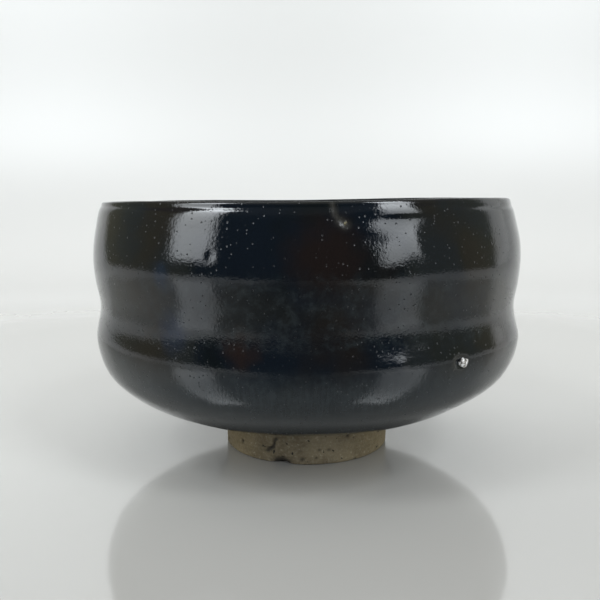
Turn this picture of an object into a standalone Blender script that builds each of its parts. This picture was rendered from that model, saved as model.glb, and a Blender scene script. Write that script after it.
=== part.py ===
"""A hand-thrown stoneware tea bowl: clay body, foot ring, two coats of black glaze and two stone grains.

Metres, +Z up. The origin is the middle of the foot's flat underside, and the front faces -Y.
"""

import math

import bmesh
import bpy
import numpy as np
from mathutils import Matrix, Vector

# Driving sizes
BOWL_RADIUS = 0.0601
BOWL_HEIGHT = 0.0715
WALL = 0.0060
LIP_THICKNESS = 0.0036
GLAZE = 0.0009
GAP = 0.0003
SEGMENTS = 56
STEPS_PER_SPAN = 2

# The foot
FOOT_RADIUS = 0.0239
FOOT_HEIGHT = 0.0099
FOOT_HOLE = 0.0167
FOOT_CHAMFER = 0.0004
FOOT_TAPER = 0.0002
RECESS_HEIGHT = 0.0068
BUTTON_HEIGHT = 0.0058
BUTTON_RADIUS = 0.0060
SPIGOT_TOP = FOOT_HEIGHT + GAP
GLAZE_START = 0.0265

# The tea pool, a shallow dish in the middle of the inside floor
FLOOR_HEIGHT = 0.0152
POOL_RADIUS = 0.0180
POOL_DEPTH = 0.0015

# Where the dipped coat ends inside the lip
LAP_HEIGHT = 0.0650

# How far the hand-made shape strays from a true turned one
LIP_TILT = 0.0006
LIP_WAVE = 0.0002
LIP_SHIFT = 0.0005
OVAL = 0.0030
SAG = 0.0008
SAG_HEIGHT = 0.0170
SAG_SPREAD = 0.0080
RIDGE_HEIGHT = 0.0365
RIDGE_SPREAD = 0.0060
RIDGE_WAVE = 0.0003
RIDGE_ANGLE = math.radians(70)

# The belly is pushed in a little across the front
FLAT_DEPTH = 0.0009
FLAT_HEIGHT = 0.0355
FLAT_SPREAD = 0.0058
FLAT_FADE = 1.5

# Stone grains: angle round the bowl from the front towards +X, height, half-sizes across, up and deep
FRONT = -math.pi / 2
BELLY_STONE = (math.radians(37.3), 0.0343, (0.0014, 0.0012, 0.0010))
RIM_STONE = (math.radians(8.6), 0.0668, (0.0007, 0.0008, 0.0006))
STONE_PROUD = 0.0002
STONE_ROUGHNESS = 0.12
STONE_PATTERN = 2.4


def outside_points():
    """Up the outside as (radius, height): the glaze's edge, underside, belly, waist, upper bulge and shoulder."""
    return [
        (GLAZE_START, FOOT_HEIGHT + 0.0005),
        (0.0368, 0.0127),
        (0.0488, 0.0178),
        (0.0574, 0.0250),
        (BOWL_RADIUS + 0.0002, 0.0340),
        (BOWL_RADIUS - 0.0013, 0.0430),
        (BOWL_RADIUS, 0.0560),
        (BOWL_RADIUS - 0.0014, 0.0655),
    ]


def lip_points():
    """Over the rounded lip, as (radius, height)."""
    middle = BOWL_RADIUS - 0.0046
    half = LIP_THICKNESS / 2
    return [
        (middle + half, BOWL_HEIGHT - 0.0014),
        (middle, BOWL_HEIGHT),
        (middle - half, BOWL_HEIGHT - 0.0016),
    ]


def inside_points():
    """Down the inside from the lap line to the middle of the tea pool, as (radius, height)."""
    inner = BOWL_RADIUS - WALL
    return [
        (inner - 0.0002, LAP_HEIGHT + GAP / 2),
        (inner - 0.0002, LAP_HEIGHT - GAP / 2),
        (inner, 0.0550),
        (inner - 0.0006, 0.0430),
        (inner - 0.0018, 0.0330),
        (inner - 0.0090, 0.0228),
        (0.0320, FLOOR_HEIGHT + 0.0032),
        (POOL_RADIUS, FLOOR_HEIGHT + POOL_DEPTH),
        (POOL_RADIUS - 0.0045, FLOOR_HEIGHT + 0.0004),
        (0.0, FLOOR_HEIGHT),
    ]


def curve_through(points):
    """A smooth curve through the points, and the unit normals that point from it into the wall."""
    knots = np.array(points)
    along = np.concatenate([[0], np.cumsum(np.linalg.norm(np.diff(knots, axis=0), axis=1))])
    slopes = np.gradient(knots, along, axis=0)
    spans = len(knots) - 1
    at = np.arange(spans * STEPS_PER_SPAN + 1) / STEPS_PER_SPAN
    start = np.minimum(at.astype(int), spans - 1)
    t = (at - start)[:, None]
    length = np.diff(along)[start][:, None]
    curve = (
        (1 + 2 * t) * (1 - t) ** 2 * knots[start]
        + t * (1 - t) ** 2 * length * slopes[start]
        + t**2 * (3 - 2 * t) * knots[start + 1]
        + t**2 * (t - 1) * length * slopes[start + 1]
    )
    tangent = np.gradient(curve, axis=0)
    tangent /= np.linalg.norm(tangent, axis=1)[:, None]
    into_wall = np.stack([-tangent[:, 1], tangent[:, 0]], axis=1)
    into_wall[-1] = (0, -1)
    return curve, into_wall


def swell(height, middle, spread):
    """One at the middle height, fading smoothly to nothing about two spreads above and below it."""
    return math.exp(-(((height - middle) / spread) ** 2))


def hand_made(point):
    """Moves a point of the true turned shape to where the potter's hand left it."""
    radius, angle = math.hypot(point.x, point.y), math.atan2(point.y, point.x)
    up = min(max(point.z / BOWL_HEIGHT, 0), 1)
    lift = LIP_TILT * math.cos(angle) - LIP_WAVE * math.cos(4 * angle)
    sag = -SAG * math.cos(angle) * swell(point.z, SAG_HEIGHT, SAG_SPREAD)
    ridge = RIDGE_WAVE * math.cos(2 * angle + RIDGE_ANGLE) * swell(point.z, RIDGE_HEIGHT, RIDGE_SPREAD)
    facing_front = max(-math.sin(angle), 0) ** FLAT_FADE
    flat = -FLAT_DEPTH * facing_front * swell(point.z, FLAT_HEIGHT, FLAT_SPREAD)
    radius *= 1 + OVAL * up * math.cos(2 * angle) + (sag + ridge + flat) / BOWL_RADIUS
    shift = LIP_SHIFT * up**4
    return Vector((radius * math.cos(angle) - shift, radius * math.sin(angle), point.z + lift * up**4))


def material(name, colour, roughness, coat=0.0):
    made = bpy.data.materials.new(name)
    made.use_nodes = True
    shader = made.node_tree.nodes["Principled BSDF"]
    shader.inputs["Base Color"].default_value = (*colour, 1)
    shader.inputs["Roughness"].default_value = roughness
    shader.inputs["Metallic"].default_value = 0
    shader.inputs["Coat Weight"].default_value = coat
    return made


def add_object(name, mesh_maker, surface):
    """Puts a bmesh into the scene as a smooth-shaded object."""
    mesh = bpy.data.meshes.new(name)
    bmesh.ops.recalc_face_normals(mesh_maker, faces=mesh_maker.faces)
    mesh_maker.to_mesh(mesh)
    mesh_maker.free()
    mesh.shade_smooth()
    mesh.set_sharp_from_angle(angle=math.radians(40))
    mesh.materials.append(surface)
    made = bpy.data.objects.new(name, mesh)
    bpy.context.scene.collection.objects.link(made)
    return made


def turned(name, outline, surface, closed, shaped=True):
    """Spins an outline of (radius, height) round the axis. An open outline starts and ends on the axis."""
    maker = bmesh.new()
    verts = [maker.verts.new((radius, 0, height)) for radius, height in outline]
    ends = verts[1:] + verts[:1] if closed else verts[1:]
    edges = [maker.edges.new(pair) for pair in zip(verts, ends)]
    bmesh.ops.spin(
        maker,
        geom=verts + edges,
        cent=(0, 0, 0),
        axis=(0, 0, 1),
        angle=math.tau,
        steps=SEGMENTS,
        use_merge=True,
    )
    bmesh.ops.remove_doubles(maker, verts=maker.verts, dist=1e-6)
    if shaped:
        for vert in maker.verts:
            vert.co = hand_made(vert.co)
    return add_object(name, maker, surface)


def make_clay_body(curve, into_wall, surface):
    """The wall and floor: everything inside the glaze, with a spigot that the foot ring fits round."""
    spigot = FOOT_HOLE - GAP
    skin = curve + into_wall * (GLAZE + GAP)
    underside = [
        (0.0, BUTTON_HEIGHT),
        (BUTTON_RADIUS / 2, BUTTON_HEIGHT + 0.0002),
        (BUTTON_RADIUS, RECESS_HEIGHT),
        (spigot, RECESS_HEIGHT),
        (spigot, SPIGOT_TOP),
        (FOOT_RADIUS + 2 * GAP, SPIGOT_TOP),
    ]
    return turned("clay_body", underside + [tuple(p) for p in skin], surface, closed=False)


def make_foot_ring(surface):
    """The foot: a ring with a flat underside, chamfered at both edges."""
    outline = [
        (FOOT_RADIUS - FOOT_CHAMFER, 0),
        (FOOT_RADIUS, FOOT_CHAMFER),
        (FOOT_RADIUS + FOOT_TAPER, FOOT_HEIGHT),
        (FOOT_HOLE, FOOT_HEIGHT),
        (FOOT_HOLE, FOOT_CHAMFER),
        (FOOT_HOLE + FOOT_CHAMFER, 0),
    ]
    return turned("foot_ring", outline, surface, closed=True, shaped=False)


def make_coat(name, skin, into_wall, surface, closed):
    """A coat of glaze between the finished surface and the clay."""
    back = skin + into_wall * GLAZE
    outline = [tuple(p) for p in back[::-1]] + [tuple(p) for p in skin]
    return turned(name, outline, surface, closed)


def stone_mesh(half_sizes, grow):
    """A rough grain: an icosphere with its points pushed in and out by a fixed pattern."""
    maker = bmesh.new()
    bmesh.ops.create_icosphere(maker, subdivisions=2, radius=1)
    for index, vert in enumerate(maker.verts):
        rough = 1 + STONE_ROUGHNESS * math.sin(STONE_PATTERN * index)
        vert.co = Vector([c * (half * rough + grow) for c, half in zip(vert.co, half_sizes)])
    return maker


def stone_place(angle, height, curve, half_sizes):
    """The matrix that sets a grain into the outer surface at this angle and height."""
    outer = curve[: int(np.argmax(curve[:, 1]))]
    radius = float(np.interp(height, outer[:, 1], outer[:, 0]))
    spot = hand_made(Vector((radius * math.cos(angle), radius * math.sin(angle), height)))
    inwards = Vector((-math.cos(angle), -math.sin(angle), 0))
    middle = spot + inwards * (half_sizes[2] - STONE_PROUD)
    across = Vector((-math.sin(angle), math.cos(angle), 0))
    turn = Matrix((across, Vector((0, 0, 1)), -inwards)).transposed().to_4x4()
    return Matrix.Translation(middle) @ turn


def set_stone(name, stone, curve, surface, hosts):
    """A grain in a pocket that is a gap wider than it all round, cut from the pieces that hold it."""
    turn_from_front, height, half_sizes = stone
    place = stone_place(FRONT + turn_from_front, height, curve, half_sizes)
    grain = add_object(name, stone_mesh(half_sizes, 0), surface)
    grain.matrix_world = place
    pocket = add_object(name + "_pocket", stone_mesh(half_sizes, GAP), surface)
    pocket.matrix_world = place
    pocket.hide_render = True
    pocket.display_type = "WIRE"
    for host in hosts:
        cut = host.modifiers.new(name + " pocket", "BOOLEAN")
        cut.object = pocket
        cut.operation = "DIFFERENCE"
        cut.solver = "EXACT"


def main():
    for old in list(bpy.data.objects):
        bpy.data.objects.remove(old, do_unlink=True)

    clay = material("bare sandy clay", (0.17, 0.135, 0.09), 0.9)
    black = material("black iron glaze", (0.008, 0.009, 0.010), 0.12, coat=0.5)
    white_stone = material("white stone", (0.55, 0.55, 0.50), 0.4)
    yellow_stone = material("yellow stone", (0.35, 0.29, 0.15), 0.6)

    before_inside = outside_points() + lip_points()
    curve, into_wall = curve_through(before_inside + inside_points())
    # The dipped coat ends at the first inside point and the poured coat starts at the second.
    lap = len(before_inside) * STEPS_PER_SPAN
    dipped = slice(0, lap + 1)
    poured = slice(lap + STEPS_PER_SPAN, None)

    clay_body = make_clay_body(curve, into_wall, clay)
    make_foot_ring(clay)
    outer_glaze = make_coat("outer_glaze", curve[dipped], into_wall[dipped], black, closed=True)
    make_coat("inner_glaze", curve[poured], into_wall[poured], black, closed=False)
    set_stone("belly_stone", BELLY_STONE, curve, white_stone, [outer_glaze, clay_body])
    set_stone("rim_stone", RIM_STONE, curve, yellow_stone, [outer_glaze, clay_body])


main()
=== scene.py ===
"""Looks for a tea bowl: hand-thrown clay under two coats of black glaze, a bare foot ring and two grains.

Metres, +Z up, and the bowl's front faces -Y. The shapes follow the CAD model's outline and add what the
hand, the tool and the kiln leave on it. A bearing is an angle round the bowl from its front towards +X.
"""

import math

import bpy
import numpy as np
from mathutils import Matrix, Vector, noise


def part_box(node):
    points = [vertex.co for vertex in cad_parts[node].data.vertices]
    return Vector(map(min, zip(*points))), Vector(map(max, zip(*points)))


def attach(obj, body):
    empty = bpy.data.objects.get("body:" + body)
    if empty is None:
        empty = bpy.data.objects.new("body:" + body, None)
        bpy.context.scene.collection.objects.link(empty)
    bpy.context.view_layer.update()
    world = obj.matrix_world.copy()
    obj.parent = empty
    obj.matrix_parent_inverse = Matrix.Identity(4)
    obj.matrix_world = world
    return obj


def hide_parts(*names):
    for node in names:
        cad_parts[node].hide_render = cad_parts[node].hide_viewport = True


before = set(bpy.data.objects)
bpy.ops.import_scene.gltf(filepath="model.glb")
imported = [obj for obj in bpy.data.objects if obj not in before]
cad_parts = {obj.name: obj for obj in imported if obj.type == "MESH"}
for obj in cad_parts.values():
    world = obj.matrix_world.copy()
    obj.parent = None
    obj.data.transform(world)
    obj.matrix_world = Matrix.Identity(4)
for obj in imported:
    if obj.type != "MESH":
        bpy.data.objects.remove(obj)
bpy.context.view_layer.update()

# Sizes taken from the frame
COAT_LOW, COAT_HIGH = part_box("outer_glaze")
FOOT_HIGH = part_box("foot_ring")[1]
STRETCH = 1.006  # how far the hand-made shape reaches beyond the turned one
LIP_SHARE = 0.991  # the turned lip's height as a share of the highest point of the hand-made one
FOOT_FLARE = 0.0002  # how much wider the foot is at its top
BOWL_RADIUS = (COAT_HIGH.x - COAT_LOW.x) / 2 / STRETCH
BOWL_HEIGHT = LIP_SHARE * COAT_HIGH.z
FOOT_RADIUS = FOOT_HIGH.x - FOOT_FLARE
FOOT_HEIGHT = FOOT_HIGH.z

# The turned outline
WALL = 0.0060
LIP_THICKNESS = 0.0036
GLAZE = 0.0009
GAP = 0.0003
GLAZE_START = FOOT_RADIUS + 0.0026
BELLY_HEIGHT = 0.0340
WAIST_HEIGHT = 0.0430
BULGE_HEIGHT = 0.0560
SHOULDER_HEIGHT = 0.0650
WAIST_DEPTH = 0.0013
LAP_HEIGHT = SHOULDER_HEIGHT  # where the two coats meet inside
FLOOR_HEIGHT = 0.0152
POOL_RADIUS = 0.0180
POOL_DEPTH = 0.0015
FOOT_HOLE = 0.0167
FOOT_CHAMFER = 0.0004
RECESS_HEIGHT = 0.0068
BUTTON_HEIGHT = 0.0058
BUTTON_RADIUS = 0.0060

# How far the hand-made shape strays from the turned one
LIP_TILT = 0.0006
LIP_WAVE = 0.0002
LIP_SHIFT = 0.0005
OVAL = 0.0030  # a share of the radius
SAG = 0.0008  # how far the underside hangs out on the left and draws in on the right
SAG_HEIGHT = 0.0170
SAG_SPREAD = 0.0080
RIDGE_WAVE = 0.0003  # how far the ridge on the belly wanders in and out
RIDGE_ANGLE = math.radians(70)
RIDGE_HEIGHT = 0.0365
RIDGE_SPREAD = 0.0060

# The lip leans out on the right of the front
LEAN = 0.0007
LEAN_BEARING = math.radians(22)
LEAN_REACH = math.radians(13)
LEAN_HEIGHT = 0.0682
LEAN_STEP = 0.0011

# Mesh fineness
SEGMENTS = 540
INNER_SEGMENTS = SEGMENTS // 2
FOOT_SEGMENTS = 440
ROW = 0.00024
INNER_ROW = ROW * 4
CLAY_ROW = ROW * 8
FINE_ROW = 0.0004
FINE_LIP = 0.0042  # how far down from the lip every row of the dipped coat is kept
THINNED = 3  # below that, every third row
BACK_THINNED = 30  # the hidden side of the dipped coat keeps every thirtieth row
INNER_BACK_THINNED = 4  # and of the poured coat every fourth
TINY = 1e-12  # the shortest normal that counts, so that no length is divided by zero

# Rings pushed in or out across the front of the belly, as (how far they stand out, height, spread up)
FRONT_RINGS = [(-0.00075, 0.0355, 0.0058), (0.00018, 0.0392, 0.0040)]
FRONT_FADE = 1.5  # above 1, the rings fade sooner towards the sides

# The hollow over the belly, deeper towards the right and in one place on the left
HOLLOW_DEPTH = 0.00019
HOLLOW_SLANT = 0.00014
HOLLOW_LEFT = 0.00018
HOLLOW_LEFT_BEARING = math.radians(-46)
HOLLOW_LEFT_REACH = math.radians(16)
HOLLOW_HEIGHT = 0.0387
HOLLOW_SPREAD = 0.0031

# Lumps and hollows, as (bearing, height, how far it stands out, spread round, spread up)
LUMPS = [
    (math.radians(-3), 0.0357, -0.00036, math.radians(9) * BOWL_RADIUS, 0.0045),
    (math.radians(11.5), 0.0655, 0.00022, 0.0050, 0.0018),
    (math.radians(23.3), 0.0625, 0.00021, 0.0034, 0.0036),
    (math.radians(20.7), 0.0356, 0.00012, 0.0014, 0.0016),
    (math.radians(-20.5), 0.0597, -0.00014, 0.0009, 0.0009),
    (math.radians(90), 0.0485, 0.00048, 0.0300, 0.0040),
    (math.radians(-90), 0.0485, 0.00045, 0.0300, 0.0040),
    (math.radians(90), 0.0610, 0.00040, 0.0300, 0.0050),
    (math.radians(-90), 0.0610, 0.00020, 0.0300, 0.0050),
    (math.radians(-70), 0.0180, 0.00035, 0.0250, 0.0024),
    (math.radians(-32), 0.0545, 0.00007, 0.0060, 0.0012),
    (math.radians(-29), 0.0386, 0.00004, 0.0080, 0.0012),
    (math.radians(25), 0.0388, 0.00006, 0.0050, 0.0016),
    (math.radians(13.5), 0.0635, -0.00020, 0.0040, 0.0016),
]

# Unevenness, as (depth, size, seed)
WALL_ROUGH = [(0.00013, 0.026, 0)]
PEEL_ROUGH = [(0.000035, 0.0085, 11), (0.000009, 0.0034, 23), (0.000006, 0.0018, 31)]
INNER_ROUGH = [(0.0001, 0.02, 0)]
RECESS_ROUGH = [(0.00008, 0.0016, 0)]
FOOT_ROUGH = [(0.00010, 0.0050, 7), (0.00006, 0.0014, 9)]
UNEVEN_HEIGHT = 0.0420  # the wall is most uneven round this height
UNEVEN_SPREAD = 0.0340

# The crease under the lip
CREASE_DEPTH = 0.00020
CREASE_HEIGHT = 0.0701
CREASE_SPREAD = 0.0006
CREASE_WANDER = 0.0003
CREASE_CHANGE = 0.4
CREASE_PATCH = 0.012
CREASE_SEED = 4
CREASE_END = 1.3  # above 1, the crease is gone before the lip leans out fully

# The grains, as (bearing, height, half sizes across, up and out)
BELLY_STONE = (math.radians(37.3), 0.0343, (0.0017, 0.0014, 0.0010))
RIM_STONE = (math.radians(8.4), 0.0668, (0.0005, 0.0007, 0.0005))
GRAIN_ROWS, GRAIN_COUNT = 24, 36
GRAIN_END = 0.03  # the angle left open at each end of the round blank, where the mesh closes at a point
GRAIN_CUTS = 14
GRAIN_FLATS = (0.68, 0.85)  # how far out the flat sides lie, as shares of the blank's radius
GRAIN_ROUGH = 0.05
GRAIN_LUMP = 0.35

# Lines where the glaze is hurt, as (bearing, height): the burst pit, and the rim grain's nest and groove
PIT = [BELLY_STONE[:2], (math.radians(35.9), 0.0344)]
NEST = [RIM_STONE[:2], (RIM_STONE[0] - 0.01, RIM_STONE[1])]
GROOVE = [
    (math.radians(5.4), 0.0710),
    (math.radians(5.9), 0.0686),
    (math.radians(6.9), 0.0673),
    (math.radians(8.1), 0.0665),
]

# What each line does to the surface, as (line, how far it stands out, distance from the line, spread)
HURTS = [
    (PIT, -0.0006, 0, 0.0011),
    (PIT, 0.00004, 0.0020, 0.0006),
    (NEST, -0.00030, 0, 0.0007),
    (NEST, 0.00005, 0.0013, 0.0005),
    (GROOVE, -0.00013, 0, 0.0006),
    (GROOVE, 0.00002, 0.0013, 0.0005),
]

# Where the glaze is thin, as (line, share worn away, distance from the line, spread)
WORN = [(GROOVE, 0.8, 0, 0.0006), (GROOVE[-2:], 1.0, 0, 0.0009), (PIT, 0.5, 0.0017, 0.0004)]
LIP_WORN = 0.6
LIP_WORN_SPREAD = 0.0004

# Throwing rings inside, and the tool's rings under and round the foot
THROWING_DEPTH = 0.00006
THROWING_TURN = 1.1  # the angle from one row of points to the next, in radians
SPIRAL_DEPTH = 0.00012
SPIRAL_PITCH = 0.0016
SPIRAL_RADIUS = 0.0110
SPIRAL_SPREAD = 0.0045
# Painted shade in the troughs of the tool's spiral
SPIRAL_SHADE = 0.5
TOOL_DEPTH = 0.00004
TOOL_PITCH = 0.0011

# Chips, cracks and holes in the foot, as (bearing, height, depth, spread round, spread up)
FOOT_MARKS = [
    (math.radians(-16.4), 0.0004, 0.0011, 0.0021, 0.0011),
    (math.radians(-20.2), 0.0068, 0.0005, 0.0005, 0.0005),
    (math.radians(-21.6), 0.0057, 0.0006, 0.0003, 0.0009),
    (math.radians(-22.6), 0.0046, 0.0006, 0.0005, 0.0005),
    (math.radians(-24.6), 0.0039, 0.0006, 0.0008, 0.0005),
    (math.radians(-26.5), 0.0032, 0.0004, 0.0005, 0.0004),
    (math.radians(8.5), 0.0042, 0.0004, 0.0005, 0.0004),
    (math.radians(28), 0.0074, 0.0004, 0.0006, 0.0006),
    (math.radians(-2.5), 0.0015, 0.0004, 0.0006, 0.0004),
    (math.radians(6.4), 0.0020, 0.0004, 0.0004, 0.0004),
    (math.radians(-49), 0.0039, 0.0005, 0.0005, 0.0005),
    (math.radians(14.8), 0.0041, 0.0003, 0.0006, 0.0005),
    (math.radians(118), 0.0010, 0.0008, 0.0016, 0.0010),
    (math.radians(-140), 0.0060, 0.0005, 0.0012, 0.0004),
    (math.radians(165), 0.0030, 0.0004, 0.0006, 0.0006),
]
# Painted shade: dips, chips and cracks in the foot are drawn darker the deeper they are
FOOT_MARK_SHADE = 0.0004  # a mark this deep is at its darkest
FOOT_SWELL = 0.0001  # the most that the foot's skin may stand out

# Glaze colours and the heights where they change
DIPPED_BLUE = (0.0028, 0.0046, 0.0072, 1)
DIPPED_BROWN = (0.0065, 0.0052, 0.0044, 1)
POURED_BLUE = (0.0050, 0.0062, 0.0085, 1)
POURED_BROWN = (0.0110, 0.0080, 0.0050, 1)
DEEP_BLACK = (0.0026, 0.0038, 0.0044, 1)
STREAK_DARK = (0.0130, 0.0172, 0.0198, 1)
STREAK_PALE = (0.0225, 0.0282, 0.0318, 1)
FILM = (0.0165, 0.0215, 0.0235, 1)
THIN_GLAZE = (0.030, 0.028, 0.023, 1)
STREAKS_FADE, STREAKS_FULL = 0.0365, 0.0262
FILM_FADE, FILM_FULL = 0.058, 0.052
BELLY_BLACK = 0.0364  # the height round which the belly has no film
BELLY_BLACK_NEAR, BELLY_BLACK_FAR = 0.0012, 0.0042
GLAZE_IOR = 1.52
GLAZE_BUMP = 0.00009
RISE_PER_TURN = 1.6  # how fast the streaks change up the wall, against round it

# Tinted places in the dipped coat, as (bearing, height, how far it spreads, colour)
TINTS = [
    (math.radians(-14), 0.0390, 0.0062, (0.0105, 0.0066, 0.0055, 1)),
    (math.radians(4), 0.0600, 0.0100, (0.0070, 0.0048, 0.0042, 1)),
    (math.radians(-33), 0.0545, 0.0050, (0.0040, 0.0090, 0.0190, 1)),
    (math.radians(-31), 0.0420, 0.0065, (0.0040, 0.0085, 0.0200, 1)),
    (math.radians(52), 0.0500, 0.0080, (0.0085, 0.0080, 0.0060, 1)),
    (math.radians(140), 0.0480, 0.0120, (0.0100, 0.0060, 0.0040, 1)),
    (math.radians(-115), 0.0600, 0.0100, (0.0040, 0.0075, 0.0150, 1)),
]
TINT_RAGGED = 0.006
TINT_OUTSIDE, TINT_INSIDE = 1.5, 0.6  # where a tint starts and is full, as shares of its spread

# Clay and stone colours
# Painted shade: the foot is the same clay as the bare body, drawn darker for the shade that the bowl casts on
# it
SHADED_FOOT_PALE = (0.200, 0.166, 0.104, 1)
SHADED_FOOT_DARK = (0.115, 0.092, 0.056, 1)
CLAY_PALE = (0.260, 0.215, 0.140, 1)
CLAY_DARK = (0.190, 0.155, 0.100, 1)
SAND = (0.30, 0.26, 0.18, 1)
# Painted light: the clay is drawn warmer and paler towards its left and right sides, where the side lights
# fall on it
LIT_SIDE_TINT = (0.290, 0.225, 0.110, 1)
GLAZE_EDGE = (0.300, 0.260, 0.180, 1)
PALE_GRAIN = (0.40, 0.36, 0.26, 1)
BLACK_GRIT = (0.02, 0.018, 0.014, 1)
CLAY_BUMP = 0.00015
SIDE_START, SIDE_FULL = 0.006, 0.021  # the clay turns warmer this far to each side
EDGE_START, EDGE_FULL = 0.0013, 0.0007  # and paler this far below the foot's top
WHITE_STONE = [(0.82, 0.83, 0.84, 1), (0.30, 0.285, 0.26, 1), (0.012, 0.012, 0.013, 1)]
YELLOW_STONE = [(0.30, 0.27, 0.12, 1), (0.15, 0.13, 0.07, 1), (0.03, 0.027, 0.02, 1)]
STONE_BUMP = 0.0001

# The paper under and behind the bowl, with painted shade that makes the floor darker in front and paler far
# behind
SHADED_PAPER_FRONT = (0.322, 0.316, 0.299, 1)
PAPER_MIDDLE = (0.420, 0.415, 0.394, 1)
PAPER_BACK = (0.566, 0.561, 0.542, 1)
PAPER_IOR = 2.2
PAPER_REACH = 1.5
PAPER_BEND = 0.33  # how far behind the bowl the floor starts to curve up
PAPER_TOP = 0.46
BEND_STEPS = 48
BEND_STEP = 0.009
GLOSS_END, MATT_START = 0.20, 0.36  # between these distances the paper turns from glossy to matt
FRONT_SLANT = 0.35  # how far back the darker front reaches for each metre to the right
FRONT_EDGE, MIDDLE_EDGE = -0.10, 0.03

# The table that the glaze mirrors: where it ends, and how dark it is in front, far off and under the bowl
TABLE_FRONT = -0.34
TABLE_SIDE = 0.80
SHADOW_SHADE = 0.88
SHADOW_MIDDLE = -0.26
SHADOW_NARROWING = 0.6  # below 1, the dark place in front is longer than it is wide
SHADOW_FULL, SHADOW_EDGE = 0.04, 0.17
FAR_FRONT_SHADE = 0.25
FAR_FRONT_START, FAR_FRONT_FULL = -0.02, -0.12
UNDER_SHADE = 0.75
UNDER_FULL, UNDER_EDGE = 0.026, 0.046
TABLE_DARK = (0.02, 0.02, 0.02, 1)

# What the glaze mirrors round the room, as (bearing in degrees, colour from there on)
ROOM = [
    (-180, (0.92, 0.94, 0.92)),
    (-136, (0.215, 0.22, 0.165)),
    (-58, (0.034, 0.038, 0.044)),
    (49, (0.215, 0.22, 0.165)),
    (112, (0.92, 0.94, 0.92)),
]
ROOM_EDGE = 1.5  # the degrees over which one colour turns into the next
CEILING = (0.11, 0.115, 0.12, 1)
CEILING_START, CEILING_FULL = 0.42, 0.60  # the rise of a direction at the ceiling's edge
SOFT_LIGHT = (1.12, 1.13, 1.12, 1)
SOFT_LEVEL, SOFT_FULL = 0.25, 0.7  # the soft light's share from level, and how high it comes in whole
BACKDROP = (0.835, 0.845, 0.83, 1)

# Each softbox as (name, bearing, width, radiance at its foot, how much brighter its top is)
SOFTBOXES = [
    ("softbox_left", math.radians(-57.1), 0.350, 4.1, 4.6),
    ("softbox_right", math.radians(47.5), 0.360, 3.4, 6.1),
]
SOFTBOX_COLOUR = (0.905, 0.955, 1.0)
SOFTBOX_CURVE = 1.5  # above 1, the brightness grows faster towards the top
SOFTBOX_DISTANCE = 0.9
SOFTBOX_LOW = 0.14
SOFTBOX_HIGH = 1.30

# The camera
CAMERA_PLACE = (0, -0.208, 0.0722)
CAMERA_DOWN = math.radians(8.26)
CAMERA_TURN = math.radians(0.55)
CAMERA_LENS = 42.42
CAMERA_SENSOR = 36


def outside_points():
    """Up the outside, as (radius, height): glaze edge, underside, belly, waist, upper bulge and shoulder."""
    return [
        (GLAZE_START, FOOT_HEIGHT + 0.0005),
        (0.0368, 0.0127),
        (0.0488, 0.0178),
        (0.0574, 0.0250),
        (BOWL_RADIUS + 0.0002, BELLY_HEIGHT),
        (BOWL_RADIUS - WAIST_DEPTH, WAIST_HEIGHT),
        (BOWL_RADIUS, BULGE_HEIGHT),
        (BOWL_RADIUS - WAIST_DEPTH, SHOULDER_HEIGHT),
        (BOWL_RADIUS - 0.0022, 0.0690),
    ]


def lip_points():
    """Over the rounded lip, as (radius, height)."""
    middle = BOWL_RADIUS - 0.0046
    half = LIP_THICKNESS / 2
    return [
        (middle + half, BOWL_HEIGHT - 0.0009),
        (middle + half - 0.0003, BOWL_HEIGHT - 0.0002),
        (middle + half - 0.0007, BOWL_HEIGHT),
        (middle, BOWL_HEIGHT - 0.0003),
        (middle - half, BOWL_HEIGHT - 0.0016),
    ]


def inside_points():
    """Down the inside from the lap line to the middle of the tea pool, as (radius, height)."""
    inner = BOWL_RADIUS - WALL
    return [
        (inner - 0.0002, LAP_HEIGHT),
        (inner, 0.0550),
        (inner - 0.0006, WAIST_HEIGHT),
        (inner - 0.0018, 0.0330),
        (inner - 0.0090, 0.0228),
        (0.0320, FLOOR_HEIGHT + 0.0032),
        (POOL_RADIUS, FLOOR_HEIGHT + POOL_DEPTH),
        (POOL_RADIUS - 0.0045, FLOOR_HEIGHT + 0.0004),
        (0.0, FLOOR_HEIGHT),
    ]


def curve_through(points, spacing):
    """Points about the spacing apart on a smooth curve through the given ones, and normals into the wall."""
    knots = np.array(points)
    along = np.concatenate([[0], np.cumsum(np.linalg.norm(np.diff(knots, axis=0), axis=1))])
    slopes = np.gradient(knots, along, axis=0)
    at = np.linspace(0, along[-1], int(along[-1] / spacing) + 1)
    start = np.clip(np.searchsorted(along, at, side="right") - 1, 0, len(knots) - 2)
    length = np.diff(along)[start][:, None]
    t = (at - along[start])[:, None] / length
    curve = (
        (1 + 2 * t) * (1 - t) ** 2 * knots[start]
        + t * (1 - t) ** 2 * length * slopes[start]
        + t**2 * (3 - 2 * t) * knots[start + 1]
        + t**2 * (t - 1) * length * slopes[start + 1]
    )
    tangent = np.gradient(curve, axis=0)
    tangent /= np.linalg.norm(tangent, axis=1)[:, None]
    return curve, np.stack([-tangent[:, 1], tangent[:, 0]], axis=1)


def straight_lines(points, spacing):
    """Points at most the spacing apart on the straight lines between the given ones."""
    line = [np.array(points[:1])]
    for start, end in zip(points, points[1:]):
        steps = math.ceil(math.dist(start, end) / spacing)
        line.append(np.linspace(start, end, steps + 1)[1:])
    return np.concatenate(line)


def swell(value, middle, spread):
    """One at the middle, fading smoothly to nothing about two spreads away on each side."""
    return np.exp(-(((value - middle) / spread) ** 2))


def bearing_of(points):
    """The bearing of each point, from -pi to pi, with the front at zero."""
    return np.arctan2(points[..., 0], -points[..., 1])


def turn_between(bearing, middle):
    """The shortest turn from the middle to the bearing, from -pi to pi."""
    return (bearing - middle + math.pi) % math.tau - math.pi


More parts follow.
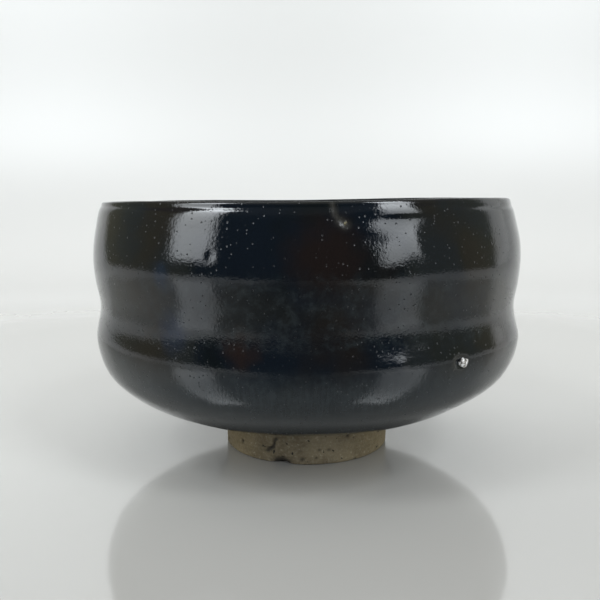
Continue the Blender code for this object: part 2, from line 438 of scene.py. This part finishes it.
def hand_made(outline, segments):
    """The outline turned round the axis and moved as the hand left it, as a grid (rows, segments, 3)."""
    radius, height = outline[:, 0, None], outline[:, 1, None]
    angle = np.arange(segments)[None] * math.tau / segments
    up = np.clip(height / BOWL_HEIGHT, 0, 1)
    lift = LIP_TILT * np.cos(angle) - LIP_WAVE * np.cos(4 * angle)
    sag = -SAG * np.cos(angle) * swell(height, SAG_HEIGHT, SAG_SPREAD)
    ridge = RIDGE_WAVE * np.cos(2 * angle + RIDGE_ANGLE) * swell(height, RIDGE_HEIGHT, RIDGE_SPREAD)
    beside = turn_between(angle, LEAN_BEARING - math.pi / 2)
    step = (1 + np.tanh((height - LEAN_HEIGHT) / LEAN_STEP)) / 2
    lean = LEAN * swell(beside, 0, LEAN_REACH) * step
    radius = radius * (1 + OVAL * up * np.cos(2 * angle) + (sag + ridge + lean) / BOWL_RADIUS)
    x = radius * np.cos(angle) - LIP_SHIFT * up**4
    y = radius * np.sin(angle)
    z = height + lift * up**4
    return np.stack([x, y, z + 0 * x], axis=-1)


def turned_exactly(outline, segments):
    """The outline turned round the axis, as a grid (rows, segments, 3)."""
    angle = np.arange(segments)[None] * math.tau / segments
    radius, height = outline[:, 0, None], outline[:, 1, None]
    return np.stack([radius * np.cos(angle), radius * np.sin(angle), height + 0 * angle], axis=-1)


def normals_of(points):
    """Unit normals of a grid of rings, which point out of a wall whose rings go up its outside."""
    along_rows = np.gradient(points, axis=0)
    round_ring = np.roll(points, -1, axis=1) - np.roll(points, 1, axis=1)
    normal = np.cross(round_ring, along_rows)
    return normal / np.maximum(np.linalg.norm(normal, axis=-1, keepdims=True), TINY)


def pushed(points, relief):
    """The points moved along their normals by the relief."""
    return points + normals_of(points) * relief[..., None]


def noise_at(points, size, seed):
    """Smooth noise from about -1 to 1 at each point, with lumps about the size across."""
    size = np.broadcast_to(size, 3)
    values = [noise.noise(Vector(spot)) for spot in points.reshape(-1, 3) / size + seed]
    return np.array(values).reshape(points.shape[:-1])


def rough_relief(points, layers):
    """Noise of several sizes added up, each layer given as (depth, size, seed)."""
    return sum(depth * noise_at(points, size, seed) for depth, size, seed in layers)


def hand_relief(points):
    """How far the hands pushed the outside in or out: the belly is flatter in front, and nothing is even."""
    bearing, height = bearing_of(points), points[..., 2]
    ahead = np.clip(np.cos(bearing), 0, 1)
    rings = sum(out * swell(height, level, spread) for out, level, spread in FRONT_RINGS)
    left = HOLLOW_LEFT * swell(bearing, HOLLOW_LEFT_BEARING, HOLLOW_LEFT_REACH)
    hollow = HOLLOW_DEPTH + HOLLOW_SLANT * np.sin(bearing) + left
    relief = ahead**FRONT_FADE * rings
    relief -= hollow * np.sqrt(ahead) * swell(height, HOLLOW_HEIGHT, HOLLOW_SPREAD)
    relief += rough_relief(points, WALL_ROUGH) * swell(height, UNEVEN_HEIGHT, UNEVEN_SPREAD)
    for middle, level, out, spread_round, spread_up in LUMPS:
        across = turn_between(bearing, middle) * BOWL_RADIUS
        relief += out * swell(across, 0, spread_round) * swell(height, level, spread_up)
    return relief


def lip_relief(points):
    """A shallow crease under the lip, of uneven depth, and gone where the lip leans out."""
    wander = noise_at(points, CREASE_PATCH, CREASE_SEED)
    level = CREASE_HEIGHT + CREASE_WANDER * wander
    crease = -CREASE_DEPTH * (1 + CREASE_CHANGE * wander) * swell(points[..., 2], level, CREASE_SPREAD)
    leaning = swell(bearing_of(points), LEAN_BEARING, LEAN_REACH)
    return crease * np.clip(1 - CREASE_END * leaning, 0, 1)


def distance_to_line(bearing, height, line):
    """The distance over the surface from each point to a line of (bearing, height) points."""
    spots = np.stack([bearing * BOWL_RADIUS, height], axis=-1)
    nearest = np.full(bearing.shape, np.inf)
    for start, end in zip(line, line[1:]):
        start = np.array([start[0] * BOWL_RADIUS, start[1]])
        step = np.array([end[0] * BOWL_RADIUS, end[1]]) - start
        share = np.clip((spots - start) @ step / (step @ step), 0, 1)
        nearest = np.minimum(nearest, np.linalg.norm(spots - start - share[..., None] * step, axis=-1))
    return nearest


def hurt_relief(points):
    """The burst pit round the belly grain, the rim grain's nest, and the groove it was dragged along."""
    bearing, height = bearing_of(points), points[..., 2]
    relief = np.zeros(height.shape)
    for line, out, reach, spread in HURTS:
        relief += out * swell(distance_to_line(bearing, height, line), reach, spread)
    return relief


def worn_share(points):
    """Where the glaze is thin: along the groove, round the belly grain, and over the top of the lip."""
    bearing, height = bearing_of(points), points[..., 2]
    worn = LIP_WORN * swell(height.max(axis=0) - height, 0, LIP_WORN_SPREAD)
    for line, share, reach, spread in WORN:
        worn = np.maximum(worn, share * swell(distance_to_line(bearing, height, line), reach, spread))
    return worn


def lying_faces(first, second, count):
    """Faces between two rings of the given count, whose points start at these indices."""
    ring = np.arange(count)
    following = (ring + 1) % count
    return np.stack([first + ring, first + following, second + following, second + ring], axis=1).tolist()


def grid_mesh(name, points, loops, surface):
    """A closed mesh from rings of points.

    Rings that loop join last to first. Others close at a point at each end.
    """
    rows, count = points.shape[:2]
    verts = points.reshape(-1, 3)
    faces = []
    for row in range(rows - 1):
        faces += lying_faces(row * count, (row + 1) * count, count)
    if loops:
        faces += lying_faces((rows - 1) * count, 0, count)
    else:
        first, last = len(verts), len(verts) + 1
        verts = np.concatenate([verts, points[0].mean(0)[None], points[-1].mean(0)[None]])
        top = (rows - 1) * count
        faces += [[first, (i + 1) % count, i] for i in range(count)]
        faces += [[last, top + i, top + (i + 1) % count] for i in range(count)]
    mesh = bpy.data.meshes.new(name)
    mesh.from_pydata(verts.tolist(), [], faces)
    mesh.update()
    mesh.shade_smooth()
    mesh.materials.append(surface)
    made = bpy.data.objects.new(name, mesh)
    bpy.context.scene.collection.objects.link(made)
    return made


def mark_wear_and_shade(piece, values):
    """Stores a value for each point that the piece's material reads: thin glaze on the dipped coat, painted
    shade in the dips of the bare clay.
    """
    attribute = piece.data.attributes.new("worn", "FLOAT", "POINT")
    stored = np.zeros(len(piece.data.vertices), np.float32)
    stored[: values.size] = values.reshape(-1)
    attribute.data.foreach_set("value", stored)


def stand_for(piece, node):
    """Puts the piece in the place of its CAD node."""
    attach(piece, "root")
    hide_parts(node)


def make_outer_coat(surface):
    """The dipped coat: the whole outside, over the lip and a little way down the inside."""
    curve, into_wall = curve_through(outside_points() + lip_points() + inside_points()[:1], ROW)
    near_lip = curve[:, 1] > BOWL_HEIGHT - FINE_LIP
    kept = near_lip | (np.arange(len(curve)) % THINNED == 0)
    kept[-1] = True
    skin = hand_made(curve[kept], SEGMENTS)
    skin = pushed(skin, hand_relief(skin))
    skin = pushed(skin, lip_relief(skin) + rough_relief(skin, PEEL_ROUGH) + hurt_relief(skin))
    back = hand_made((curve + into_wall * GLAZE)[-2:0:-BACK_THINNED], SEGMENTS)
    back = pushed(back, -hand_relief(back))
    coat = np.concatenate([back, skin])
    piece = grid_mesh("outer_coat", coat, True, surface)
    mark_wear_and_shade(piece, worn_share(coat))
    return piece


def make_inner_coat(surface):
    """The poured coat: down the inside from the lap line, with the throwing rings showing through."""
    points = inside_points()
    points[0] = (points[0][0], LAP_HEIGHT - GAP)
    curve, into_wall = curve_through(points, INNER_ROW)
    curve, into_wall = curve[:-1], into_wall[:-1]
    skin = hand_made(curve, INNER_SEGMENTS)
    turn = THROWING_TURN * np.arange(1, len(curve) + 1)[:, None]
    rings = THROWING_DEPTH * np.sin(turn + bearing_of(skin))
    skin = pushed(skin, rings + rough_relief(skin, INNER_ROUGH) + rough_relief(skin, PEEL_ROUGH))
    back = hand_made((curve + into_wall * GLAZE)[::-INNER_BACK_THINNED], INNER_SEGMENTS)
    return grid_mesh("inner_coat", np.concatenate([back, skin]), False, surface)


def make_bowl_clay(surface):
    """The clay between the coats, bare only round the foot, with the tool's spiral in the foot's recess."""
    curve, into_wall = curve_through(outside_points() + lip_points() + inside_points(), CLAY_ROW)
    core = (curve + into_wall * (GLAZE + GAP))[:-1]
    spigot = FOOT_HOLE - GAP
    underside = straight_lines(
        [
            (0.0003, BUTTON_HEIGHT),
            (BUTTON_RADIUS / 2, BUTTON_HEIGHT + 0.0002),
            (BUTTON_RADIUS, RECESS_HEIGHT),
            (spigot, RECESS_HEIGHT),
        ],
        FINE_ROW,
    )
    level = FOOT_HEIGHT + GAP
    collar = straight_lines([(spigot, level), (FOOT_RADIUS + 2 * GAP, level)], CLAY_ROW)
    under = hand_made(underside, INNER_SEGMENTS)
    spiral = bearing_of(under) + underside[:, 0, None] / SPIRAL_PITCH * math.tau
    ringed = swell(underside[:, 0, None], SPIRAL_RADIUS, SPIRAL_SPREAD)
    under[..., 2] += SPIRAL_DEPTH * np.sin(spiral) * ringed
    under[..., 2] += rough_relief(under, RECESS_ROUGH)
    rest = hand_made(np.concatenate([collar, core]), INNER_SEGMENTS)
    wall = rest[len(collar):]
    inner_side = (np.arange(len(core)) > int(np.argmax(core[:, 1])))[:, None]
    rest[len(collar):] = pushed(wall, np.where(inner_side, 0, hand_relief(wall)))
    piece = grid_mesh("bowl_clay", np.concatenate([under, rest]), False, surface)
    # painted shade: the troughs of the spiral are drawn darker
    mark_wear_and_shade(piece, SPIRAL_SHADE * np.clip(-np.sin(spiral), 0, 1))
    return piece


def make_foot(surface):
    """The bare foot ring: sandy, turned with a tool, and chipped and cracked in places."""
    outline = straight_lines(
        [
            (FOOT_HOLE + FOOT_CHAMFER, 0.0),
            (FOOT_RADIUS - FOOT_CHAMFER, 0.0),
            (FOOT_RADIUS, FOOT_CHAMFER),
            (FOOT_RADIUS + FOOT_FLARE, FOOT_HEIGHT),
            (FOOT_HOLE, FOOT_HEIGHT),
            (FOOT_HOLE, FOOT_CHAMFER),
        ],
        FINE_ROW,
    )
    ring = turned_exactly(outline, FOOT_SEGMENTS)
    bearing, height = bearing_of(ring), ring[..., 2]
    relief = rough_relief(ring, FOOT_ROUGH)
    relief += TOOL_DEPTH * np.sin(height / TOOL_PITCH * math.tau + bearing)
    for middle, level, depth, spread_round, spread_up in FOOT_MARKS:
        across = turn_between(bearing, middle) * FOOT_RADIUS
        relief -= depth * swell(across, 0, spread_round) * swell(height, level, spread_up)
    ring = pushed(ring, np.minimum(relief, FOOT_SWELL))
    ring[..., 2] = np.clip(ring[..., 2], 0, FOOT_HEIGHT)
    piece = grid_mesh("foot", ring, True, surface)
    # painted shade: the deeper a dip in the foot, the darker it is drawn
    mark_wear_and_shade(piece, np.clip(-relief / FOOT_MARK_SHADE, 0, 1))
    return piece


def surface_spot(bearing, height):
    """The point on the finished outside at this bearing and height, and the way straight out from there."""
    curve = curve_through(outside_points(), FINE_ROW)[0]
    radius = float(np.interp(height, curve[:, 1], curve[:, 0]))
    segments = 720
    ring = hand_made(np.array([[radius, height]]), segments)
    spot = ring[:, round((bearing - math.pi / 2) / math.tau * segments) % segments]
    out = Vector((math.sin(bearing), -math.cos(bearing), 0))
    return Vector(spot[0]) + out * float(hand_relief(spot)[0]), out


def make_grain(name, stone, sunk, seed, surface):
    """A broken grain of stone: a round blank cut flat on several sides, then roughened."""
    bearing, height, half_sizes = stone
    spot, out = surface_spot(bearing, height)
    across = Vector((0, 0, 1)).cross(out)
    draws = np.random.default_rng(seed)
    polar = np.linspace(GRAIN_END, math.pi - GRAIN_END, GRAIN_ROWS)[:, None]
    turn = np.arange(GRAIN_COUNT)[None] * math.tau / GRAIN_COUNT
    ball = np.stack(
        [np.sin(polar) * np.cos(turn), np.sin(polar) * np.sin(turn), -np.cos(polar) + 0 * turn], axis=-1
    )
    for direction in draws.normal(size=(GRAIN_CUTS, 3)):
        direction /= np.linalg.norm(direction)
        over = np.maximum(ball @ direction - draws.uniform(*GRAIN_FLATS), 0)
        ball = ball - over[..., None] * direction
    ball = ball * (1 + GRAIN_ROUGH * noise_at(ball, GRAIN_LUMP, seed))[..., None] * np.array(half_sizes)
    world = (
        np.array(spot - out * sunk)
        + ball[..., :1] * np.array(across)
        + ball[..., 1:2] * np.array((0, 0, 1))
        + ball[..., 2:] * np.array(out)
    )
    return grid_mesh(name, world, False, surface)


class Nodes:
    """Adds nodes to one tree and joins them, so that each material reads as a list of steps."""

    def __init__(self, tree):
        self.tree = tree

    def add(self, kind, settings=None, **inputs):
        node = self.tree.nodes.new(kind)
        for key, value in (settings or {}).items():
            setattr(node, key, value)
        for key, value in inputs.items():
            self.feed(node, key.replace("_", " "), value)
        return node

    def feed(self, node, key, value):
        """Joins or sets one input, found by its name or by its number."""
        socket = node.inputs[key]
        if isinstance(value, bpy.types.NodeSocket):
            self.tree.links.new(value, socket)
        else:
            socket.default_value = value

    def maths(self, operation, *values):
        node = self.add("ShaderNodeMath", {"operation": operation})
        for index, value in enumerate(values):
            self.feed(node, index, value)
        return node.outputs[0]

    def vector(self, operation, *values):
        node = self.add("ShaderNodeVectorMath", {"operation": operation})
        for index, value in enumerate(values):
            self.feed(node, index, value)
        return node

    def noise(self, place, scale, detail=2.0, roughness=0.5):
        node = self.add("ShaderNodeTexNoise", Vector=place, Scale=scale, Detail=detail, Roughness=roughness)
        return node.outputs["Fac"]

    def remap(self, value, low, high, to_low=0.0, to_high=1.0):
        """Takes low to to_low and high to to_high, smoothly, and stays there beyond them."""
        node = self.add("ShaderNodeMapRange", {"interpolation_type": "SMOOTHSTEP"}, Value=value)
        for key, number in zip(("From Min", "From Max", "To Min", "To Max"), (low, high, to_low, to_high)):
            node.inputs[key].default_value = number
        return node.outputs["Result"]

    def blend(self, share, first, second):
        node = self.add("ShaderNodeMix", {"data_type": "RGBA"})
        for index, value in zip((0, 6, 7), (share, first, second)):
            self.feed(node, index, value)
        return node.outputs[2]

    def paint(self, colour, share, strength, over):
        """The colour with another one over it, where the share says and at most this strong."""
        return self.blend(self.maths("MULTIPLY", share, strength), colour, over)

    def mix_shaders(self, share, first, second):
        node = self.add("ShaderNodeMixShader", Fac=share)
        self.feed(node, 1, first)
        self.feed(node, 2, second)
        return node.outputs[0]

    def bump(self, height, distance):
        node = self.add("ShaderNodeBump", Strength=1.0, Distance=distance, Height=height)
        return node.outputs["Normal"]

    # reads the stored value: thin glaze on the dipped coat, painted shade on the bare clay
    def worn(self):
        return self.add("ShaderNodeAttribute", {"attribute_name": "worn"}).outputs["Fac"]


def new_material(name):
    made = bpy.data.materials.new(name)
    made.use_nodes = True
    nodes = Nodes(made.node_tree)
    shader = made.node_tree.nodes["Principled BSDF"]
    place = nodes.add("ShaderNodeTexCoord").outputs["Object"]
    return made, nodes, shader, place


def tinted(nodes, place, colour):
    """The colour with each of the tints blended in round its middle, with ragged edges."""
    ragged = nodes.maths("MULTIPLY", nodes.noise(place, scale=260, detail=3), TINT_RAGGED)
    for bearing, height, reach, tint in TINTS:
        middle = (BOWL_RADIUS * math.sin(bearing), -BOWL_RADIUS * math.cos(bearing), height)
        apart = nodes.vector("DISTANCE", place, middle).outputs["Value"]
        away = nodes.maths("ADD", apart, ragged)
        colour = nodes.blend(nodes.remap(away, TINT_OUTSIDE * reach, TINT_INSIDE * reach), colour, tint)
    return colour


def down_the_wall(nodes, place):
    """A texture place that changes fast round the bowl and slowly up it, where noise makes streaks."""
    level = nodes.vector("MULTIPLY", place, (1, 1, 0)).outputs[0]
    unit = nodes.vector("NORMALIZE", level).outputs[0]
    height = nodes.add("ShaderNodeSeparateXYZ", Vector=place).outputs["Z"]
    rise = nodes.add("ShaderNodeCombineXYZ", Z=nodes.maths("MULTIPLY", height, RISE_PER_TURN))
    return nodes.vector("ADD", unit, rise.outputs[0]).outputs[0], height


def pinholes(nodes, place):
    """One inside tiny round holes of many sizes, and nothing between them."""
    cells = nodes.add("ShaderNodeTexVoronoi", Vector=place, Scale=880.0)
    chosen = nodes.add("ShaderNodeSeparateColor", Color=cells.outputs["Color"]).outputs["Red"]
    size = nodes.remap(chosen, 0.25, 1.0, 0.05, 0.19)
    edge = nodes.maths("SUBTRACT", cells.outputs["Distance"], size)
    present = nodes.maths("GREATER_THAN", chosen, 0.25)
    return nodes.maths("MULTIPLY", nodes.remap(edge, -0.06, 0.07, 1.0, 0.0), present)


def pale_film(nodes, place, height):
    """Where a thin grey film lies on the glaze: below the upper bulge, but not along the belly."""
    film = nodes.remap(nodes.noise(place, scale=420, detail=5, roughness=0.75), 0.42, 0.72, 0.0, 0.55)
    film = nodes.maths("MULTIPLY", film, nodes.remap(height, FILM_FADE, FILM_FULL))
    from_belly = nodes.maths("ABSOLUTE", nodes.maths("SUBTRACT", height, BELLY_BLACK))
    return nodes.maths("MULTIPLY", film, nodes.remap(from_belly, BELLY_BLACK_NEAR, BELLY_BLACK_FAR))


def glaze_material(name, blue, brown, dipped):
    """Black iron glaze: blue-black with warmer patches, pinholes, streaks low down and a pitted skin."""
    made, nodes, shader, place = new_material(name)
    warm = nodes.remap(nodes.noise(place, scale=38, detail=3), 0.50, 0.70)
    deep = nodes.remap(nodes.noise(place, scale=75), 0.45, 0.65)
    colour = nodes.blend(warm, nodes.blend(deep, blue, DEEP_BLACK), brown)
    streak_place, height = down_the_wall(nodes, place)
    streaks = nodes.noise(streak_place, scale=90, detail=3, roughness=0.6)
    low = nodes.remap(height, STREAKS_FADE, STREAKS_FULL)
    haze = nodes.maths("MULTIPLY", nodes.remap(streaks, 0.35, 0.75), low)
    pit = pinholes(nodes, place)

    rough = nodes.remap(nodes.noise(place, scale=160), 0.3, 0.7, 0.03, 0.07)
    rough = nodes.maths("ADD", rough, nodes.maths("MULTIPLY", haze, 0.08))
    rough = nodes.maths("ADD", rough, nodes.maths("MULTIPLY", pit, 0.32))
    if dipped:
        mottle = nodes.maths("ADD", streaks, nodes.noise(place, scale=520, detail=4, roughness=0.75))
        pale = nodes.blend(nodes.remap(mottle, 0.80, 1.25), STREAK_DARK, STREAK_PALE)
        film = pale_film(nodes, place, height)
        worn = nodes.worn()
        colour = nodes.paint(tinted(nodes, place, colour), low, 0.85, pale)
        colour = nodes.paint(nodes.blend(film, colour, FILM), worn, 0.8, THIN_GLAZE)
        rough = nodes.maths("ADD", rough, nodes.maths("MULTIPLY", worn, 0.3))
        rough = nodes.maths("ADD", rough, nodes.maths("MULTIPLY", film, 0.16))

    grain = nodes.maths("MULTIPLY", nodes.noise(place, scale=1500, detail=3, roughness=0.6), 0.34)
    runs = nodes.maths("MULTIPLY", streaks, nodes.remap(low, 0, 1, 0.04, 0.19))
    skin = nodes.maths("SUBTRACT", nodes.maths("ADD", grain, runs), nodes.maths("MULTIPLY", pit, 0.36))
    nodes.feed(shader, "Base Color", colour)
    nodes.feed(shader, "Roughness", rough)
    nodes.feed(shader, "Normal", nodes.bump(skin, GLAZE_BUMP))
    nodes.feed(shader, "IOR", GLAZE_IOR)
    return made


def clay_material(name, pale, dark):
    """Unglazed sandy clay: buff, with dark grit, pale grains and pores; painted light makes it warmer and
    paler at the sides, and painted shade darkens its dips.
    """
    made, nodes, shader, place = new_material(name)
    cloud = nodes.noise(place, scale=120, detail=4, roughness=0.6)
    sand = nodes.noise(place, scale=1500, detail=3, roughness=0.7)
    ends = nodes.add("ShaderNodeSeparateXYZ", Vector=place)
    # painted light: warmer, paler clay towards the left and right sides
    side = nodes.remap(nodes.maths("ABSOLUTE", ends.outputs["X"]), SIDE_START, SIDE_FULL)
    edge = nodes.remap(ends.outputs["Z"], FOOT_HEIGHT - EDGE_START, FOOT_HEIGHT - EDGE_FULL)
    pale_grains = nodes.remap(nodes.noise(place, scale=900, detail=1), 0.66, 0.72)
    grit = nodes.remap(nodes.noise(place, scale=620), 0.66, 0.71)
    # painted shade: the dips and tool marks stored on the piece are drawn dark, like the grit
    grit_and_painted_shade = nodes.maths("MAXIMUM", grit, nodes.maths("MULTIPLY", nodes.worn(), 0.85))

    colour = nodes.blend(nodes.remap(cloud, 0.35, 0.68), dark, pale)
    colour = nodes.blend(nodes.remap(sand, 0.45, 0.75, 0.0, 0.40), colour, SAND)
    colour = nodes.paint(colour, side, 0.4, LIT_SIDE_TINT)
    colour = nodes.paint(colour, edge, 0.5, GLAZE_EDGE)
    colour = nodes.paint(colour, pale_grains, 0.32, PALE_GRAIN)
    skin = nodes.maths("ADD", nodes.maths("SUBTRACT", sand, grit), nodes.noise(place, scale=500))
    nodes.feed(shader, "Base Color", nodes.blend(grit_and_painted_shade, colour, BLACK_GRIT))
    nodes.feed(shader, "Roughness", nodes.remap(sand, 0.3, 0.7, 0.95, 0.75))
    nodes.feed(shader, "Normal", nodes.bump(skin, CLAY_BUMP))
    return made


def stone_material(name, tones, roughness):
    """A broken stone: three tones in patches, from pale to dark, with a finely rough skin."""
    made, nodes, shader, place = new_material(name)
    pale, middle, dark = tones
    grain = nodes.noise(place, scale=1100)
    patches = nodes.remap(grain, 0.55, 0.61)
    colour = nodes.blend(nodes.remap(grain, 0.46, 0.51), dark, middle)
    nodes.feed(shader, "Base Color", nodes.blend(patches, colour, pale))
    nodes.feed(shader, "Roughness", nodes.remap(patches, 0, 1, roughness + 0.25, roughness))
    nodes.feed(shader, "Normal", nodes.bump(nodes.noise(place, scale=3500), STONE_BUMP))
    return made


def length_of(nodes, x, y):
    """The length of a line that reaches this far along each axis."""
    return nodes.maths("SQRT", nodes.maths("ADD", nodes.maths("POWER", x, 2.0), nodes.maths("POWER", y, 2.0)))


def mirrored_shade(nodes, x, y, radius):
    """How much darker the paper looks in the glaze: in front of the bowl, under it, and far off in front."""
    ahead = nodes.maths("MULTIPLY", nodes.maths("SUBTRACT", y, SHADOW_MIDDLE), SHADOW_NARROWING)
    shadow = nodes.remap(length_of(nodes, x, ahead), SHADOW_FULL, SHADOW_EDGE, SHADOW_SHADE, 0.0)
    under = nodes.remap(radius, UNDER_EDGE, UNDER_FULL, 0.0, UNDER_SHADE)
    far = nodes.remap(radius, GLOSS_END, MATT_START)
    front = nodes.remap(y, FAR_FRONT_START, FAR_FRONT_FULL)
    far_front = nodes.maths("MULTIPLY", nodes.maths("MULTIPLY", far, front), FAR_FRONT_SHADE)
    return nodes.maths("MAXIMUM", nodes.maths("MAXIMUM", shadow, under), far_front)


def paper_material():
    """The pale floor and backdrop.

    Reflections see a table that ends not far off, and is darker towards the front.
    """
    made, nodes, shader, place = new_material("stage_paper")
    apart = nodes.add("ShaderNodeSeparateXYZ", Vector=place)
    x, y = apart.outputs["X"], apart.outputs["Y"]
    radius = length_of(nodes, x, y)
    cloud = nodes.remap(nodes.noise(place, scale=9, detail=5, roughness=0.6), 0.35, 0.7, -0.02, 0.02)
    far = nodes.remap(nodes.maths("ADD", radius, cloud), GLOSS_END, MATT_START)
    # Painted shade: the floor is drawn darker in front of the bowl, with the edge slanting back to the right,
    # and paler far off and up the backdrop
    slanted = nodes.maths("SUBTRACT", y, nodes.maths("MULTIPLY", x, FRONT_SLANT))
    near = nodes.blend(nodes.remap(slanted, FRONT_EDGE, MIDDLE_EDGE), SHADED_PAPER_FRONT, PAPER_MIDDLE)
    nodes.feed(shader, "Base Color", nodes.blend(far, near, PAPER_BACK))
    nodes.feed(shader, "Roughness", nodes.remap(far, 0, 1, 0.085, 0.5))
    nodes.feed(shader, "IOR", PAPER_IOR)

    mirrored = nodes.add("ShaderNodeLightPath").outputs["Is Glossy Ray"]
    dark = nodes.add("ShaderNodeBsdfDiffuse", Color=TABLE_DARK).outputs[0]
    clear = nodes.add("ShaderNodeBsdfTransparent").outputs[0]
    beyond_front = nodes.maths("LESS_THAN", y, TABLE_FRONT)
    beyond_side = nodes.maths("GREATER_THAN", nodes.maths("ABSOLUTE", x), TABLE_SIDE)
    beyond = nodes.maths("MULTIPLY", mirrored, nodes.maths("MAXIMUM", beyond_front, beyond_side))
    dimmed = nodes.maths("MULTIPLY", mirrored, mirrored_shade(nodes, x, y, radius))
    table = nodes.mix_shaders(dimmed, shader.outputs[0], dark)
    output = made.node_tree.nodes["Material Output"]
    nodes.feed(output, "Surface", nodes.mix_shaders(beyond, table, clear))
    return made


def make_paper():
    """One sheet: a flat floor that curves up behind the bowl."""
    share = np.linspace(0, 1, BEND_STEPS)
    lean = math.pi / 2 * share**2 * (3 - 2 * share)
    back = PAPER_BEND + np.cumsum(np.cos(lean)) * BEND_STEP
    up = np.cumsum(np.sin(lean)) * BEND_STEP
    bend = list(zip(back.tolist(), up.tolist()))
    profile = [(-PAPER_REACH, 0.0), (PAPER_BEND, 0.0), *bend, (bend[-1][0], PAPER_TOP)]
    verts = [(x, y, z) for y, z in profile for x in (-PAPER_REACH, PAPER_REACH)]
    faces = [(2 * i, 2 * i + 1, 2 * i + 3, 2 * i + 2) for i in range(len(profile) - 1)]
    mesh = bpy.data.meshes.new("paper")
    mesh.from_pydata(verts, [], faces)
    mesh.shade_smooth()
    mesh.materials.append(paper_material())
    paper = bpy.data.objects.new("paper", mesh)
    bpy.context.scene.collection.objects.link(paper)


def make_softbox(name, bearing, width, radiance, rise):
    """A tall soft light that faces the bowl and is brighter towards its top."""
    tall = SOFTBOX_HIGH - SOFTBOX_LOW
    data = bpy.data.lights.new(name, "AREA")
    data.shape = "RECTANGLE"
    data.size = width
    data.size_y = tall
    data.energy = radiance * math.pi * width * tall
    data.color = SOFTBOX_COLOUR
    data.use_nodes = True
    nodes = Nodes(data.node_tree)
    across = nodes.add("ShaderNodeNewGeometry").outputs["Parametric"]
    up = nodes.add("ShaderNodeSeparateXYZ", Vector=across).outputs["Y"]
    extra = nodes.maths("MULTIPLY", nodes.maths("POWER", up, SOFTBOX_CURVE), rise - 1)
    nodes.feed(data.node_tree.nodes["Emission"], "Strength", nodes.maths("ADD", extra, 1.0))
    light = bpy.data.objects.new(name, data)
    x, y = SOFTBOX_DISTANCE * math.sin(bearing), -SOFTBOX_DISTANCE * math.cos(bearing)
    light.location = (x, y, (SOFTBOX_LOW + SOFTBOX_HIGH) / 2)
    light.rotation_euler = Vector((-x, -y, 0)).to_track_quat("-Z", "Y").to_euler()
    light.visible_camera = False
    bpy.context.scene.collection.objects.link(light)


def make_room():
    """Light from all round: soft and even, pale behind the bowl, and a room with dark parts when mirrored."""
    world = bpy.data.worlds.new("room")
    bpy.context.scene.world = world
    world.use_nodes = True
    world.cycles.sampling_method = "NONE"
    nodes = Nodes(world.node_tree)
    towards = nodes.add("ShaderNodeTexCoord").outputs["Generated"]
    apart = nodes.add("ShaderNodeSeparateXYZ", Vector=towards)
    ahead = nodes.maths("MULTIPLY", apart.outputs["Y"], -1.0)
    bearing = nodes.maths("ARCTAN2", apart.outputs["X"], ahead)
    share = nodes.maths("ADD", nodes.maths("DIVIDE", bearing, math.tau), 0.5)
    ramp = nodes.add("ShaderNodeValToRGB", Fac=share)
    stops = ramp.color_ramp.elements
    stops[0].color = (*ROOM[0][1], 1)
    stops.remove(stops[1])
    for (_, before), (start, colour) in zip(ROOM, ROOM[1:]):
        for degrees, shown in [(start - ROOM_EDGE / 2, before), (start + ROOM_EDGE / 2, colour)]:
            stops.new((degrees + 180) / 360).color = (*shown, 1)
    overhead = nodes.remap(apart.outputs["Z"], CEILING_START, CEILING_FULL)
    mirrored = nodes.blend(overhead, ramp.outputs["Color"], CEILING)
    lifted = nodes.remap(apart.outputs["Z"], 0.0, SOFT_FULL, SOFT_LEVEL, 1.0)
    soft = nodes.blend(lifted, ramp.outputs["Color"], SOFT_LIGHT)
    path = nodes.add("ShaderNodeLightPath")
    seen = nodes.blend(path.outputs["Is Glossy Ray"], soft, mirrored)
    seen = nodes.blend(path.outputs["Is Camera Ray"], seen, BACKDROP)
    nodes.feed(world.node_tree.nodes["Background"], "Color", seen)


def make_camera():
    data = bpy.data.cameras.new("camera")
    data.sensor_width = CAMERA_SENSOR
    data.lens = CAMERA_LENS
    camera = bpy.data.objects.new("camera", data)
    camera.location = CAMERA_PLACE
    camera.rotation_euler = (math.pi / 2 - CAMERA_DOWN, 0, CAMERA_TURN)
    bpy.context.scene.collection.objects.link(camera)
    bpy.context.scene.camera = camera


def main():
    outer_black = glaze_material("black_glaze_dipped", DIPPED_BLUE, DIPPED_BROWN, dipped=True)
    inner_black = glaze_material("black_glaze_poured", POURED_BLUE, POURED_BROWN, dipped=False)
    # painted shade: the foot's clay is a darker copy of the bare clay
    foot_clay = clay_material("foot_clay", SHADED_FOOT_PALE, SHADED_FOOT_DARK)
    bare_clay = clay_material("bare_clay", CLAY_PALE, CLAY_DARK)
    white_stone = stone_material("white_stone", WHITE_STONE, roughness=0.22)
    yellow_stone = stone_material("yellow_stone", YELLOW_STONE, roughness=0.45)

    stand_for(make_outer_coat(outer_black), "outer_glaze")
    stand_for(make_inner_coat(inner_black), "inner_glaze")
    stand_for(make_bowl_clay(bare_clay), "clay_body")
    stand_for(make_foot(foot_clay), "foot_ring")
    belly_grain = make_grain("belly_grain", BELLY_STONE, sunk=0.0005, seed=5, surface=white_stone)
    stand_for(belly_grain, "belly_stone")
    rim_grain = make_grain("rim_grain", RIM_STONE, sunk=0.0004, seed=8, surface=yellow_stone)
    stand_for(rim_grain, "rim_stone")

    make_paper()
    for softbox in SOFTBOXES:
        make_softbox(*softbox)
    make_room()
    make_camera()
    bpy.context.scene.view_settings.view_transform = "Standard"


main()
